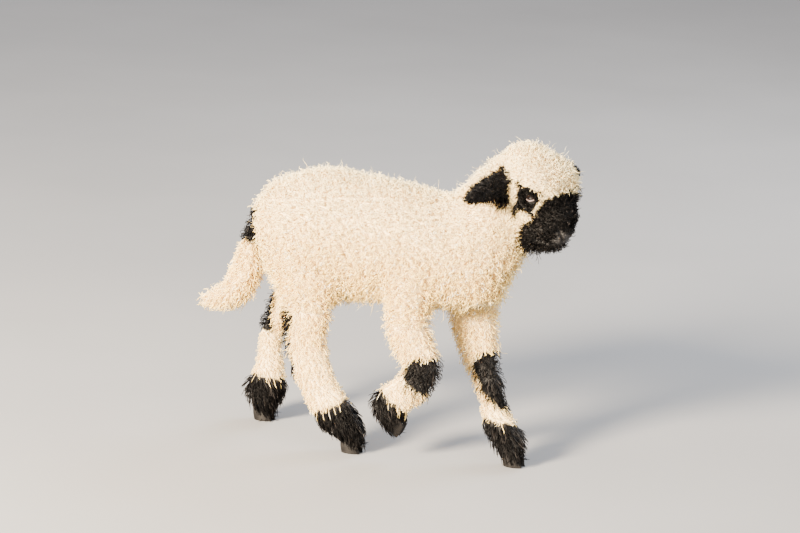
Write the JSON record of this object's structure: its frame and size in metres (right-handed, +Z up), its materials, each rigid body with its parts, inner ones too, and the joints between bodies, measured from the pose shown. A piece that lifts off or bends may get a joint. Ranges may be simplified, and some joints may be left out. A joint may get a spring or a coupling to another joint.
{
  "type": "sheep lamb figure",
  "caption": "Life-size young blacknose sheep in curly cream wool with dark face, ears, knees and feet, walking with one fore leg lifted and its head turned.",
  "frame": {"origin": "middle of the outer box, at the floor", "axes": "+X the way the lamb walks, +Y its left side, +Z up"},
  "size_m": [0.626, 0.2142, 0.5025],
  "materials": {
    "cream_wool": "dense cream wool in small tight curls",
    "black_wool": "short dull brown-black fleece",
    "eye": "wet dark brown",
    "hoof": "dull dark horn"
  },
  "bodies": {
    "root": {"trunk": "cream_wool", "neck": "cream_wool", "head": "cream_wool", "tail": "cream_wool", "ear_left": "black_wool", "ear_right": "black_wool", "eye_left": "eye", "eye_right": "eye", "fore_leg_upper_left": "cream_wool", "fore_leg_upper_right": "cream_wool", "hind_leg_upper_left": "cream_wool", "hind_leg_upper_right": "cream_wool", "fore_leg_lower_left": "cream_wool", "fore_leg_lower_right": "cream_wool", "hind_leg_lower_left": "cream_wool", "hind_leg_lower_right": "cream_wool", "claw_fore_left_left": "hoof", "claw_fore_left_right": "hoof", "claw_fore_right_left": "hoof", "claw_fore_right_right": "hoof", "claw_hind_left_left": "hoof", "claw_hind_left_right": "hoof", "claw_hind_right_left": "hoof", "claw_hind_right_right": "hoof"}
  },
  "joints": []
}
